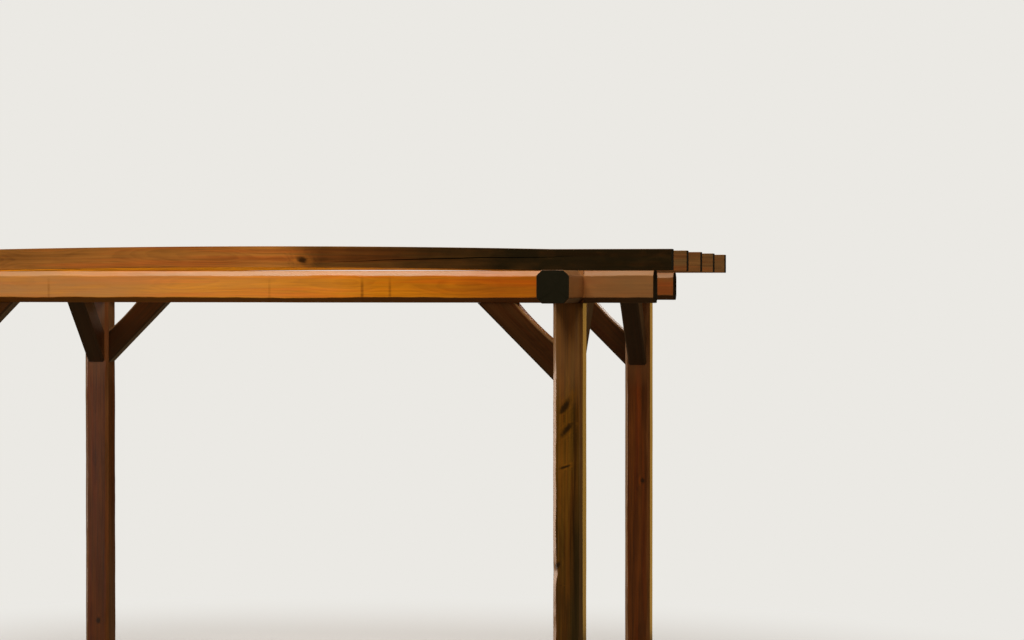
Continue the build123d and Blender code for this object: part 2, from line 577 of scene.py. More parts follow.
def ring_stops(timber, spacing):
    """The places of the rings along a timber, each with the kind of section it has.

    A lap has two rings at each of its ends, the chamfered section's and the halved one's.
    """
    starts = [END_STEP] + [centre + reach for centre, reach, _ in timber.laps]
    ends = [centre - reach for centre, reach, _ in timber.laps] + [timber.length - END_STEP]
    kinds = [kept for _, _, kept in timber.laps] + ["end"]
    stops = [(0.0, "end")]
    for start, end, kind in zip(starts, ends, kinds):
        count = math.ceil((end - start) / spacing)
        stops += [(start + (end - start) * step / count, "plain") for step in range(count + 1)]
        if kind != "end":
            stops += [(end, kind), (end + 2 * timber.half[0], kind)]
    stops.append((timber.length, "end"))
    steps = (-DRIP_AND_SHADOW_EDGE, -DRIP_AND_SHADOW_CORE, DRIP_AND_SHADOW_CORE, DRIP_AND_SHADOW_EDGE)
    stops += [(drip_and_shadow.along + step, "plain") for drip_and_shadow in timber.drips_and_shadows for step in steps]
    stops += [(knot.along + step, "plain") for knot in timber.knots for step in KNOT_RINGS]
    return sorted(stops, key=lambda stop: stop[0])


class WoodMesh:
    """A timber's mesh in the making: its points, what is marked on them, and its faces."""

    def __init__(self):
        self.points = []
        self.marks = {mark: [] for mark in MARKS}
        self.faces = []

    def add_point(self, point, **marks):
        """Adds a point, with 0 for each mark that isn't given."""
        self.points.append(point)
        for mark, rows in self.marks.items():
            rows.append(marks.get(mark, 0.0))

    def join_rings(self, count):
        """Adds the quads between neighbouring rings of so many points."""
        for base in range(0, len(self.points) - count, count):
            for i in range(count):
                j = (i + 1) % count
                self.faces.append((base + i, base + j, base + count + j, base + count + i))

    def finish(self, name, material, node, slot):
        """Makes a smooth piece with crisp arrises that stands for a CAD node.

        It joins the pieces that a lamp for its kind of wood lights.
        """
        mesh = bpy.data.meshes.new(name)
        mesh.from_pydata(self.points, [], self.faces)
        for mark, rows in self.marks.items():
            if mark in ("grain", "knot"):
                attribute = mesh.attributes.new(mark, "FLOAT_VECTOR", "POINT")
                attribute.data.foreach_set("vector", [x for row in rows for x in row])
            else:
                attribute = mesh.attributes.new(mark, "FLOAT", "POINT")
                attribute.data.foreach_set("value", rows)
        shape = bmesh.new()
        shape.from_mesh(mesh)
        bmesh.ops.remove_doubles(shape, verts=shape.verts, dist=MERGE_WITHIN)
        bmesh.ops.dissolve_degenerate(shape, edges=shape.edges, dist=SLIVER)
        bmesh.ops.recalc_face_normals(shape, faces=shape.faces)
        shape.to_mesh(mesh)
        shape.free()
        mesh.shade_smooth()
        mesh.set_sharp_from_angle(angle=SHARP_OVER)
        mesh.materials.append(material)
        piece = bpy.data.objects.new(name, mesh)
        bpy.context.scene.collection.objects.link(piece)
        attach(piece, "root")
        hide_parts(node)
        lit = bpy.data.collections.get(f"lit_{slot}")
        if lit:
            lit.objects.link(piece)


def corner_wear(timber, station):
    """Weathering and painted light on a chamfer: pale on top, a painted highlight at a post's left front,
    painted shade below.
    """
    if timber.along.z > 0.5:
        return 1.2 if station.side == LEFT else 0.3
    return 1.0 if CORNER_SIGNS[station.side][1] > 0 else -1.0


def make_timber(timber, material, node, slot):
    """Builds one timber as rings closed by its sawn ends."""
    values = settings("timber")
    layout = ring_layout(timber)
    count = len(layout)
    wood = WoodMesh()
    for along, kind in ring_stops(timber, values.ring_spacing):
        for station, (u, v) in zip(layout, ring_points(timber, layout, along, kind, values)):
            crack = station.crack
            # The open bottom of a crack takes the dark end-grain colour, a painted shade in the groove
            in_crack = crack is not None and station.part == 0 and crack.opening(along) > OPEN_CRACK
            # Chamfers take weathering and painted light; faces take the faded stops of painted light and
            # shade
            wear = corner_wear(timber, station) if station.corner else between(timber.faded, along)
            wood.add_point(timber.place(along, u, v), wear=wear, sawn=float(kind == "end" or in_crack),
                           **timber.marks(along, u, v))
    wood.join_rings(count)
    for first, along in ((0, 0.0), (len(wood.points) - count, timber.length)):
        centre = len(wood.points)
        wood.add_point(timber.place(along, 0.0, 0.0), sawn=1.0, **timber.marks(along, 0.0, 0.0))
        wood.faces += [(first + i, first + (i + 1) % count, centre) for i in range(count)]
    wood.finish(timber.name, material, node, slot)


@dataclass
class BraceAxes:
    """Where a knee brace is: its corner, its directions and its outer edge's distance from the corner."""

    corner: Vector
    along: Vector
    out: Vector
    side: Vector
    outer: float
    half_thick: float


def brace_axes(node, post):
    """Works out a brace's axes from its own box and its post's."""
    low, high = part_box(node)
    size = high - low
    middle = (low + high) / 2
    away = middle - cad_centre(post)
    axis = 0 if abs(away.x) > abs(away.y) else 1
    beam_way = WAYS[axis] * math.copysign(1, away[axis])
    corner = middle - beam_way * size.z / 2
    corner.z = high.z
    return BraceAxes(corner, (beam_way + UP).normalized(), (beam_way - UP).normalized(), beam_way.cross(UP),
                     size.z / math.sqrt(2), size[1 - axis] / 2)


def brace_section(axes, s, seed, values):
    """The section's points at a place s along a brace, from -1 at the post to 1 at the beam.

    Each is (distance from the corner, distance from the middle, wear and painted light). The inner
    edge is pale with wear and a painted sheen, and the outer one is darker with painted shade.
    """
    far = axes.outer
    near = far - values.brace_width + values.brace_hollow * (1 - s * s)
    thick = axes.half_thick
    cut = values.brace_chamfer + BRACE_CUT_WAVER * waver(seed, s, 2.0, 0.5)
    third = (far - near) / 3
    # Pale with wear and a painted sheen on the inner edge; painted shade on the outer one
    half = (
        (near, thick / 3, 1.0), (near, thick - cut, 1.1), (near + cut, thick, 0.3),
        (near + cut + BRACE_ROUNDING, thick, 0.0), (near + third, thick, 0.0), (far - third, thick, 0.0),
        (far - cut - BRACE_ROUNDING, thick, 0.0), (far - cut, thick, -0.5), (far, thick - cut, -0.5),
        (far, thick / 3, -0.2))
    return [(n, -v, wear) for n, v, wear in half] + [*half[::-1]]


def make_brace(node, post, seed, material):
    """Builds one knee brace between a post's face and a beam's underside."""
    values = settings("timber")
    axes = brace_axes(node, post)
    pith = (axes.outer - BRACE_PITH[0] * values.brace_width, BRACE_PITH[1] * axes.half_thick)
    knot_place = 0.07 * math.sin(seed * 1.7)
    knot_radius = BRACE_KNOT if seed % 2 == 0 else 0.0
    wood = WoodMesh()
    for index in range(BRACE_RINGS + 1):
        s = -1 + 2 * index / BRACE_RINGS
        section = brace_section(axes, s, seed, values)
        for n, v, wear in section:
            p = s * n
            sink = 0.5 * values.plane_waver * (1 - s ** 6) * (1 + waver(seed, s, n * 9 + v * 5, 0.4))
            v -= math.copysign(sink, v)
            apart = p - knot_place
            wood.add_point(
                axes.corner + axes.along * p + axes.out * n + axes.side * v,
                grain=(p + seed * BRACE_TREE_STEP, n - pith[0], v - pith[1]),
                knot=(apart, n - pith[0], knot_radius * smooth_step(*BRACE_KNOT_FADE, abs(apart))),
                tone=0.4 + 0.3 * waver(seed, s, 0.0, 0.8), wear=wear)
    count = len(section)
    wood.join_rings(count)
    wood.faces += [tuple(range(count)), tuple(BRACE_RINGS * count + i for i in range(count))]
    wood.finish(f"{node}_wood", material, node, "brace_wood")


# Materials

def add_node(tree, kind, inputs=(), **options):
    """Adds a node with its options, sets or links its inputs, and gives its outputs.

    The inputs are in order from the first one, or they are named. A colour has three parts.
    """
    item = tree.nodes.new(kind)
    for key, value in options.items():
        setattr(item, key, value)
    for key, value in (inputs if isinstance(inputs, dict) else dict(enumerate(inputs))).items():
        socket = item.inputs[key]
        if isinstance(value, bpy.types.NodeSocket):
            tree.links.new(value, socket)
        elif socket.type == "RGBA":
            socket.default_value = (*value, 1)
        else:
            socket.default_value = value
    return item.outputs


def empty_nodes(owner):
    """Clears a material's or a world's nodes, and gives the function that adds one to them."""
    owner.use_nodes = True
    owner.node_tree.nodes.clear()
    return partial(add_node, owner.node_tree)


def weighted_sum(add, total, *terms):
    """A number or socket plus each term, given as (socket, its middle value, its weight)."""
    for value, middle, weight in terms:
        off_middle = add(MATH, (value, middle), operation="SUBTRACT")[0]
        total = add(MATH, (off_middle, weight, total), operation="MULTIPLY_ADD")[0]
    return total


def product(add, first, *others):
    """A socket times other sockets or numbers."""
    for other in others:
        first = add(MATH, (first, other), operation="MULTIPLY")[0]
    return first


def layered(add, colour, *layers):
    """A colour under layers, each given as (how much it covers, its colour)."""
    for cover, over in layers:
        colour = add(MIX, {0: cover, 6: colour, 7: over}, **COLOUR)[2]
    return colour


def grain_noise(add, grain, features, detail=3.0, roughness=0.55):
    """The outputs of noise with so many features a metre along the grain and across it."""
    stretched = add(VECTOR_MATH, (grain, features), operation="MULTIPLY")[0]
    return add("ShaderNodeTexNoise", {
        "Vector": stretched, "Scale": 1.0, "Detail": detail, "Roughness": roughness})


def knot_distance(add, knot, grain):
    """The distance from the nearest knot's middle in its own radii, with a ragged edge."""
    flat = add(VECTOR_MATH, (knot, (1, 1, 0)), operation="MULTIPLY")[0]
    distance = add(VECTOR_MATH, (flat,), operation="LENGTH")["Value"]
    radius = add(MATH, (add("ShaderNodeSeparateXYZ", (knot,))[2], 0.0001), operation="MAXIMUM")[0]
    radii = add(MATH, (distance, radius), operation="DIVIDE")[0]
    ragged = grain_noise(add, grain, KNOT_EDGE)[0]
    return weighted_sum(add, radii, (ragged, 0.5, 1.3))


def growth_rings(add, grain, radii):
    """Late wood, from 0 to 1, in rings round a wandering pith that bend round the knots."""
    wander = grain_noise(add, grain, PITH_WANDER, 2.0)["Color"]
    wander = add(VECTOR_MATH, (wander, (0.5, 0.5, 0.5)), operation="SUBTRACT")[0]
    centred = add(VECTOR_MATH, (wander, PITH_DRIFT, grain), operation="MULTIPLY_ADD")[0]
    across = add(VECTOR_MATH, (centred, (0, 1, 1)), operation="MULTIPLY")[0]
    radius = add(VECTOR_MATH, (across,), operation="LENGTH")["Value"]
    warp = grain_noise(add, grain, RING_WARP, 2.0)[0]
    near_knot = add(RANGE, (radii, 5.0, 0.8), **SMOOTH)[0]
    radius = weighted_sum(add, radius, (warp, 0.5, RING_WARPED), (near_knot, 0.0, RING_BULGE))
    turns = add(MATH, (radius, RING_WIDTH), operation="DIVIDE")[0]
    ring = add(MATH, (turns,), operation="FRACT")[0]
    darkening = add(RANGE, (ring, 0.2, 0.88), **SMOOTH)[0]
    return product(add, darkening, add(RANGE, (ring, 1.0, 0.92), **SMOOTH)[0])


def end_checks(add, grain):
    """Radial drying cracks on a sawn end, from 0 to 1."""
    parts = add("ShaderNodeSeparateXYZ", (grain,))
    turn = add(MATH, (parts[1], parts[2]), operation="ARCTAN2")[0]
    rays = add("ShaderNodeTexNoise", {"W": turn, "Scale": END_RAYS, "Detail": 1.0}, noise_dimensions="1D")[0]
    off_ray = add(MATH, (rays, 0.56), operation="SUBTRACT")[0]
    off_ray = add(MATH, (off_ray,), operation="ABSOLUTE")[0]
    return add(RANGE, (off_ray, 0.016, 0.004), **SMOOTH)[0]


def stained_softwood(name, light, dark, rings, streaks):
    """Planed spruce or pine under a satin oil stain.

    The growth rings run round a pith that wanders, so a face shows long flames and an end shows
    circles. The stain's tone changes slowly along a timber, and painted shade darkens it there too,
    to an olive-green cast past the top of the tone. The fibres, streaks and rings darken that tone by
    a share of itself; chamfers are paler with weathering and painted light, lower edges darker with
    painted shade, and a clear film over it all gives a soft sheen that the sawn ends have lost. Rings
    and streaks say how much of each shows.
    """
    stain = settings("stain")
    material = bpy.data.materials.new(name)
    add = empty_nodes(material)
    marks = {mark: add("ShaderNodeAttribute", attribute_name=mark) for mark in MARKS}
    grain = marks["grain"]["Vector"]
    wear, sawn, drip_and_shadow = (marks[mark]["Fac"] for mark in ("wear", "sawn", "drip_and_shadow"))
    radii = knot_distance(add, marks["knot"]["Vector"], grain)
    late_wood = growth_rings(add, grain, radii)

    # Stain: slow changes of tone with painted shade in them, then streaks, fibres and rings within it
    streak = add("ShaderNodeSeparateColor", (grain_noise(add, grain, STREAK)["Color"],))
    narrow = grain_noise(add, grain, NARROW_STREAK)[0]
    fibre = grain_noise(add, grain, FIBRE, roughness=0.65)[0]
    blotch = grain_noise(add, grain, BLOTCH, 4.0)[0]
    tone = weighted_sum(add, marks["tone"]["Fac"], (blotch, 0.5, 0.25))
    # Painted shade: an olive-green cast where the tone goes past 1
    painted_green_shade = add(RANGE, (tone, 1.15, 1.65, 0.0, 0.85), **SMOOTH)[0]
    base = layered(add, light, (tone, dark), (painted_green_shade, stain.painted_green_shade))
    pale, deep, under_shade, dripped_and_shaded, resin = (
        add(MIX, {0: 1.0, 6: base, 7: tint}, **TINT)[2]
        for tint in (PALE_TINT, DEEP_TINT, PAINTED_UNDER_SHADE_TINT, DRIP_AND_SHADOW_TINT, RESIN_TINT))
    depth = weighted_sum(add, 0.45, (late_wood, 0.35, rings), (streak[0], 0.5, 1.2 * streaks),
                         (narrow, 0.5, 2.2 * streaks), (fibre, 0.5, 0.9 * streaks), (blotch, 0.5, 0.4))
    reddish = add(RANGE, (streak[1], 0.42, 0.66), **SMOOTH)[0]
    colour = add(MIX, {0: reddish, 6: layered(add, pale, (depth, deep)), 7: RED_TINT}, **TINT)[2]

    # Chamfers with weathering and painted light and shade, drips and painted twig shadows, and knots
    patches = grain_noise(add, grain, WORN_PATCH, 2.0)[0]
    patchy = add(RANGE, (patches, 0.3, 0.7, 0.6, 0.9), **SMOOTH)[0]
    thin = add(RANGE, (tone, 0.2, 1.0, 1.0, 0.6), **SMOOTH)[0]
    uneven = add(RANGE, (narrow, 0.3, 0.6, 0.5, 1.0), **SMOOTH)[0]
    round_knot = add(RANGE, (radii, 3.4, 1.6), **SMOOTH)[0]
    some = add(RANGE, (streak[2], 0.45, 0.6, 0.0, 0.75), **SMOOTH)[0]
    halo = add(RANGE, (radii, 2.1, 1.0, 0.0, 0.55), **SMOOTH)[0]
    in_knot = add(RANGE, (radii, 1.4, 0.5), **SMOOTH)[0]
    colour = layered(
        add, colour,
        # Pale tan for weathering and painted light; painted shade under the lower edges
        (product(add, wear, patchy, thin), stain.weathered_and_painted_light),
        (product(add, wear, -0.8), under_shade),
        (product(add, drip_and_shadow, uneven), dripped_and_shaded),
        (product(add, round_knot, some), resin),
        (halo, deep),
        (product(add, in_knot, 0.85), stain.knot))

    # Sawn ends, and the painted shade at the bottom of open cracks
    cracked = tuple(c * 0.4 for c in stain.end_dark)
    end_colour = layered(add, stain.end_light, (late_wood, stain.end_dark),
                         (product(add, end_checks(add, grain), 0.8), cracked))
    colour = layered(add, colour, (sawn, end_colour))

    roughness = weighted_sum(add, 0.46, (streak[0], 0.5, 0.3), (sawn, 0.0, 0.4))
    height = weighted_sum(add, 0.0, (late_wood, 0.0, 0.3), (fibre, 0.0, 0.5), (in_knot, 0.0, 0.5))
    bump = add("ShaderNodeBump", {"Strength": 0.3, "Distance": FINE_RELIEF, "Height": height})[0]
    film = weighted_sum(add, 0.8, (sawn, 0.0, -0.8))
    shader = add("ShaderNodeBsdfPrincipled", {
        "Base Color": colour, "Roughness": roughness, "Normal": bump, "IOR": 1.5, "Coat Weight": film,
        "Coat Roughness": 0.24})[0]
    add("ShaderNodeOutputMaterial", {"Surface": shader})
    return material


def dull_zinc(name):
    """Yellow-passivated zinc on steel screws: a metal that the weather has clouded and dulled."""
    material = bpy.data.materials.new(name)
    add = empty_nodes(material)
    cloud = grain_noise(add, add("ShaderNodeTexCoord")["Object"], ZINC_CLOUD)[0]
    steel = settings("screws").steel
    dull = add(RANGE, (cloud, 0.35, 0.7), **SMOOTH)[0]
    colour = layered(add, steel, (dull, tuple(c * 0.45 for c in steel)))
    roughness = add(RANGE, (cloud, 0.3, 0.7, 0.38, 0.6), **SMOOTH)[0]
    shader = add("ShaderNodeBsdfPrincipled", {
        "Base Color": colour, "Metallic": 1.0, "Roughness": roughness})[0]
    add("ShaderNodeOutputMaterial", {"Surface": shader})
    return material


def floor_paint(name, stage):
    """Matt pale paint that fades into the backdrop away from the pergola.

    Only the camera sees it pale. The timbers see a dim brown, so little light comes up at them.
    """
    material = bpy.data.materials.new(name)
    add = empty_nodes(material)
    away = add(VECTOR_MATH, (add("ShaderNodeTexCoord")["Object"],), operation="LENGTH")["Value"]
    faded = add(RANGE, (away, *FLOOR_FADE), **SMOOTH)[0]
    pale = add("ShaderNodeBsdfDiffuse", {"Color": stage.floor})[0]
    dim = add("ShaderNodeBsdfDiffuse", {"Color": stage.bounce})[0]
    backdrop = add("ShaderNodeEmission", {"Color": stage.backdrop, "Strength": 1.0})[0]
    shown = add("ShaderNodeMixShader", (faded, pale, backdrop))[0]
    from_camera = add("ShaderNodeLightPath")["Is Camera Ray"]
    add("ShaderNodeOutputMaterial", {"Surface": add("ShaderNodeMixShader", (from_camera, dim, shown))[0]})
    return material


# What is on each timber

def from_post(post_place, *stops):
    """Stops along a timber, given by how far they are left of the front right post."""
    return tuple((post_place - left, value) for left, value in stops)


def post_marks(corner):
    """What is on each post; the photograph shows the front right one best."""
    front = ((0, 0.75), (0.8, 0.78), (1.05, 0.7), (1.3, 0.52), (1.75, 0.35), (1.95, 0.05), (2.2, -0.3))
    back = ((0, 0.45), (2.2, 0.35))
    common = {
        "tones": front if "front" in corner else back,
        # Painted shade on each post's right side
        "painted_side_shade": 0.15,
        # Painted light as pale tan at the top of each post, under the beams
        "faded": ((0, 0.0), (1.7, 0.0), (1.95, 0.5), (2.2, 0.65))}
    own = {
        "front_right": {
            # More painted shade on this post's right side
            "painted_side_shade": 0.34,
            "knots": (
                Knot(1.719, BOTTOM, -0.012, 0.0115, 0.55, 3.0),
                Knot(1.617, BOTTOM, -0.002, 0.0105, 0.72, 3.4),
                Knot(1.442, BOTTOM, -0.01, 0.005, 1.25, 4.5),
                Knot(0.985, BOTTOM, -0.045, 0.009, 0.4, 1.6),
                Knot(0.78, RIGHT, 0.01, 0.014),
                Knot(0.42, BOTTOM, 0.02, 0.011)),
            "checks": (Check(RIGHT, 0.1, 0.15, 1.25), Check(BOTTOM, 0.4, 0.0, 0.62, 0.0025)),
            "dents": (Dent(0.955, 3, 0.035, 0.007), Dent(0.62, 0, 0.03, 0.004))},
        "front_left": {
            "knots": (
                Knot(1.85, BOTTOM, 0.015, 0.011), Knot(1.1, RIGHT, 0.0, 0.013),
                Knot(0.55, BOTTOM, -0.02, 0.01)),
            "checks": (Check(LEFT, -0.15, 0.7, 2.0), Check(BOTTOM, -0.3, 0.2, 1.0, 0.0025))},
        "back_right": {
            "knots": (
                Knot(1.9, TOP, 0.01, 0.012), Knot(1.2, BOTTOM, 0.03, 0.009), Knot(0.6, RIGHT, 0.01, 0.012)),
            "checks": (Check(TOP, 0.1, 0.3, 1.7), Check(LEFT, 0.25, 1.0, 1.9, 0.0025))},
        "back_left": {
            "knots": (
                Knot(1.75, LEFT, 0.0, 0.012), Knot(1.0, TOP, -0.01, 0.013), Knot(0.35, BOTTOM, 0.01, 0.011)),
            "checks": (Check(TOP, -0.2, 0.1, 1.2), Check(RIGHT, 0.1, 0.8, 2.0, 0.0025))}}
    return {**common, **own[corner]}


def beam_marks(node, post_place):
    """What is on each beam; post_place is where its second post is."""
    # Thin painted twig shadows down the front beam, drawn like drip marks
    front_twig_shadows = from_post(post_place, (2.52, 0.4), (1.425, 0.3), (0.974, 0.8), (0.84, 0.6))
    return {
        "beam_front": {
            # Painted shade: darker towards the right, with the olive-green painted shade past the post
            "tones": from_post(
                post_place, (2.76, 0.25), (2.3, 0.1), (1.5, 0.0), (1.27, 0.12), (1.03, 0.32), (0.55, 0.52),
                (0.32, 0.8), (0.08, 0.8), (-0.08, 1.4), (-0.4, 1.45)),
            # Pale tan as painted light on the left part, and with the painted shade past the post
            "faded": from_post(
                post_place, (2.76, 0.9), (2.3, 0.75), (1.8, 0.5), (1.2, 0.25), (0.9, 0.0), (0.0, 0.0),
                (-0.1, 0.5), (-0.4, 0.5)),
            "knots": (Knot(1.5, RIGHT, 0.01, 0.011), Knot(post_place - 0.2, RIGHT, 0.01, 0.012)),
            "checks": (Check(TOP, 0.3, 0.6, 1.5), Check(RIGHT, 0.2, 1.4, 3.0)),
            "drips_and_shadows": tuple(DripAndShadow(*stop) for stop in front_twig_shadows)},
        "beam_back": {
            # Its last 0.3 m carry the olive-green painted shade
            "tones": ((0, 0.5), (2.0, 0.3), (3.1, 0.5), (3.3, 1.4), (3.6, 1.4)),
            "knots": (Knot(1.2, RIGHT, 0.01, 0.012), Knot(2.7, LEFT, -0.01, 0.011)),
            "checks": (Check(RIGHT, -0.2, 0.7, 2.2), Check(LEFT, 0.1, 1.9, 3.0)),
            "drips_and_shadows": (DripAndShadow(0.95, 0.5), DripAndShadow(2.45, 0.4))},
        "beam_right": {
            # Its front end carries the olive-green painted shade
            "tones": ((0, 1.4), (0.4, 1.4), (0.6, 0.45), (1.6, 0.3), (3.3, 0.5)),
            # Pale tan under the painted shade at the front end
            "faded": ((0, 0.5), (0.4, 0.4), (0.6, 0.1), (1, 0.0)),
            "knots": (Knot(1.3, RIGHT, 0.012, 0.012), Knot(2.2, LEFT, -0.01, 0.011)),
            "checks": (Check(RIGHT, 0.15, 0.9, 2.2), Check(LEFT, -0.1, 0.9, 1.9)),
            "drips_and_shadows": (DripAndShadow(1.55, 0.5), DripAndShadow(2.5, 0.4))},
        "beam_left": {
            "tones": ((0, 0.4), (1.6, 0.2), (3.3, 0.45)),
            "knots": (Knot(1.1, LEFT, 0.0, 0.012), Knot(2.3, RIGHT, 0.01, 0.012)),
            "checks": (Check(LEFT, 0.1, 1.1, 2.3), Check(RIGHT, 0.25, 0.9, 1.7)),
            "drips_and_shadows": (DripAndShadow(1.3, 0.4), DripAndShadow(1.9, 0.5))}}[node]


def rafter_marks(index, post_place):
    """What is on each rafter; the first is the one that the photograph shows."""
    if index == 0:
        return {
            # Lifts the painted shade off the first rafter's back and top
            "painted_side_shade": -0.45,
            # Painted shade: the first rafter turns near black towards its right end
            "tones": from_post(
                post_place, (3.6, 0.3), (2.78, 0.35), (1.6, 0.2), (1.43, 0.05), (1.35, 0.22),
                (1.26, 0.65), (1.18, 0.8), (1.09, 0.71), (0.99, 0.76), (0.8, 0.87), (0.6, 0.92),
                (0.32, 0.97), (-0.5, 1.03)),
            "knots": (Knot(post_place - 1.274, LEFT, 0.015, 0.012, 0.3, 1.7), Knot(0.8, RIGHT, 0.01, 0.01)),
            "checks": (Check(LEFT, 0.49, post_place - 1.14, post_place + 0.05, 0.005, 0.012, -0.034),
                       Check(TOP, 0.2, 0.5, 1.7, 0.0025, 0.01))}
    turn = index % 3
    first = 0.4 + 0.5 * turn
    return {
        # The far ends darken into the olive-green painted shade
        "tones": ((0, 0.2), (1.5 + 0.2 * turn, 0.0), (2.8, 0.1), (3.4, 0.9), (3.7, 1.45), (4.1, 1.5)),
        "knots": (Knot(0.7 + 0.31 * (index % 4), LEFT, 0.01, 0.01),
                  Knot(2.8 + 0.2 * turn, RIGHT, 0.0, 0.011)),
        "checks": (Check(LEFT, -0.1, first, first + 1.3, 0.0025, 0.01),
                   Check(TOP, 0.1, 3.4 - first, 3.8 - 0.3 * first, 0.0025, 0.01))}


class PERGOLA_OT_posts(bpy.types.Operator):
    """Builds the four chamfered posts with their knots and drying cracks"""

    bl_idname = "pergola.posts"
    bl_label = "Posts"

    def execute(self, context):
        stain = settings("stain")
        chamfer = settings("timber").post_chamfer
        # The posts' colours are their stain darkened with painted shade
        front = stained_softwood("post_brown_stain_and_painted_shade", stain.post_light, stain.post_dark, 0.15, 1.3)
        back = stained_softwood("post_redbrown_stain_and_painted_shade", stain.back_light, stain.back_dark, 0.15, 1.0)
        for seed, corner in enumerate(CORNERS, start=POST_SEED):
            node = f"post_{corner}"
            low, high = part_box(node)
            size = high - low
            foot = cad_centre(node)
            foot.z = low.z
            timber = Timber(f"{node}_wood", foot, UP, *WAYS, size.z, (size.x / 2, size.y / 2), chamfer, seed,
                            **post_marks(corner))
            make_timber(timber, front if "front" in corner else back, node, "post_wood")
        return {"FINISHED"}


class PERGOLA_OT_beams(bpy.types.Operator):
    """Builds the four beams, halved over the posts, with stopped hand-cut chamfers"""

    bl_idname = "pergola.beams"
    bl_label = "Beams"

    def execute(self, context):
        stain = settings("stain")
        chamfer = settings("timber").beam_chamfer
        honey = stained_softwood("beam_honey_stain", stain.beam_light, stain.beam_dark, 0.12, 0.35)
        first_post = cad_centre("post_front_left")
        last_post = cad_centre("post_back_right")
        for seed, node in enumerate(BEAMS, start=BEAM_SEED):
            along, across, kept = (0, 1, "lower") if node in ("beam_front", "beam_back") else (1, 0, "upper")
            low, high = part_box(node)
            half = ((high[across] - low[across]) / 2, (high.z - low.z) / 2)
            laps = tuple((post[along] - low[along], half[0], kept) for post in (first_post, last_post))
            origin = cad_centre(node)
            origin[along] = low[along]
            length = high[along] - low[along]
            timber = Timber(f"{node}_wood", origin, WAYS[along], WAYS[across], UP, length, half, chamfer,
                            seed, laps=laps, **beam_marks(node, laps[1][0]))
            make_timber(timber, honey, node, "beam_wood")
        return {"FINISHED"}


class PERGOLA_OT_rafters(bpy.types.Operator):
    """Builds the row of sharp-edged rafters that lie on the side beams"""

    bl_idname = "pergola.rafters"
    bl_label = "Rafters"

    def execute(self, context):
        stain = settings("stain")
        values = settings("timber")
        # The first rafter's colours carry painted shade; the others take the beams' honey
        shaded_brown = stained_softwood("rafter_brown_stain_and_painted_shade", stain.rafter_light, stain.rafter_painted_shade, 0.15, 0.5)
        honey = stained_softwood("rafter_honey_stain", stain.beam_light, stain.beam_dark, 0.2, 0.5)
        beam_low, beam_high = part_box("beam_right")
        for index, node in enumerate(RAFTERS):
            low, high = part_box(node)
            size = high - low
            half = (size.y / 2, (size.z - values.rafter_crown) / 2)
            origin = Vector((low.x, (low.y + high.y) / 2, low.z + half[1]))
            span_end = beam_low.x - low.x
            post_place = (beam_low.x + beam_high.x) / 2 - low.x
            timber = Timber(f"{node}_wood", origin, *WAYS, UP, size.x, half, values.rafter_arris,
                            RAFTER_SEED + index, hand_cut=False, crown=values.rafter_crown,
                            span=(size.x - span_end, span_end), **rafter_marks(index, post_place))
            make_timber(timber, honey if index else shaded_brown, node, "rafter_wood")
        return {"FINISHED"}


class PERGOLA_OT_braces(bpy.types.Operator):
    """Builds the eight curved knee braces"""

    bl_idname = "pergola.braces"
    bl_label = "Knee braces"

    def execute(self, context):
        stain = settings("stain")
        # The braces' colours are their stain darkened with painted shade
        shaded_red_brown = stained_softwood("brace_redbrown_stain_and_painted_shade", stain.brace_light, stain.brace_dark, 0.2, 0.6)
        for seed, (node, post) in enumerate(BRACES, start=BRACE_SEED):
            make_brace(node, post, seed, shaded_red_brown)
        return {"FINISHED"}


# Screws

def screw_places():
    """Where each screw's head sits, and which way it faces."""
    places = []
    for node in RAFTERS:
        low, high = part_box(node)
        top = high.z - settings("timber").rafter_crown - HEAD_SUNK
        for beam in ("beam_left", "beam_right"):
            for step in RAFTER_SCREWS:
                aside = (low.y + high.y) / 2 + RAFTER_SKEW * step
                places.append((Vector((cad_centre(beam).x + step, aside, top)), UP))
    for node, post in BRACES:
        axes = brace_axes(node, post)
        outer_edge = axes.corner + axes.out * (axes.outer - HEAD_SUNK)
        for along, aside in BRACE_SCREWS:
            places.append((outer_edge + axes.along * along + axes.side * aside, axes.out))
    return places


def screw_inputs():
    """The sizes and the seed that the screws' node tree takes, by name."""
    values = settings("screws")
    return {"Head Radius": values.head_radius, "Head Height": values.head_height,
            "Drive Radius": values.drive_radius, "Seed": SCREW_SEED}


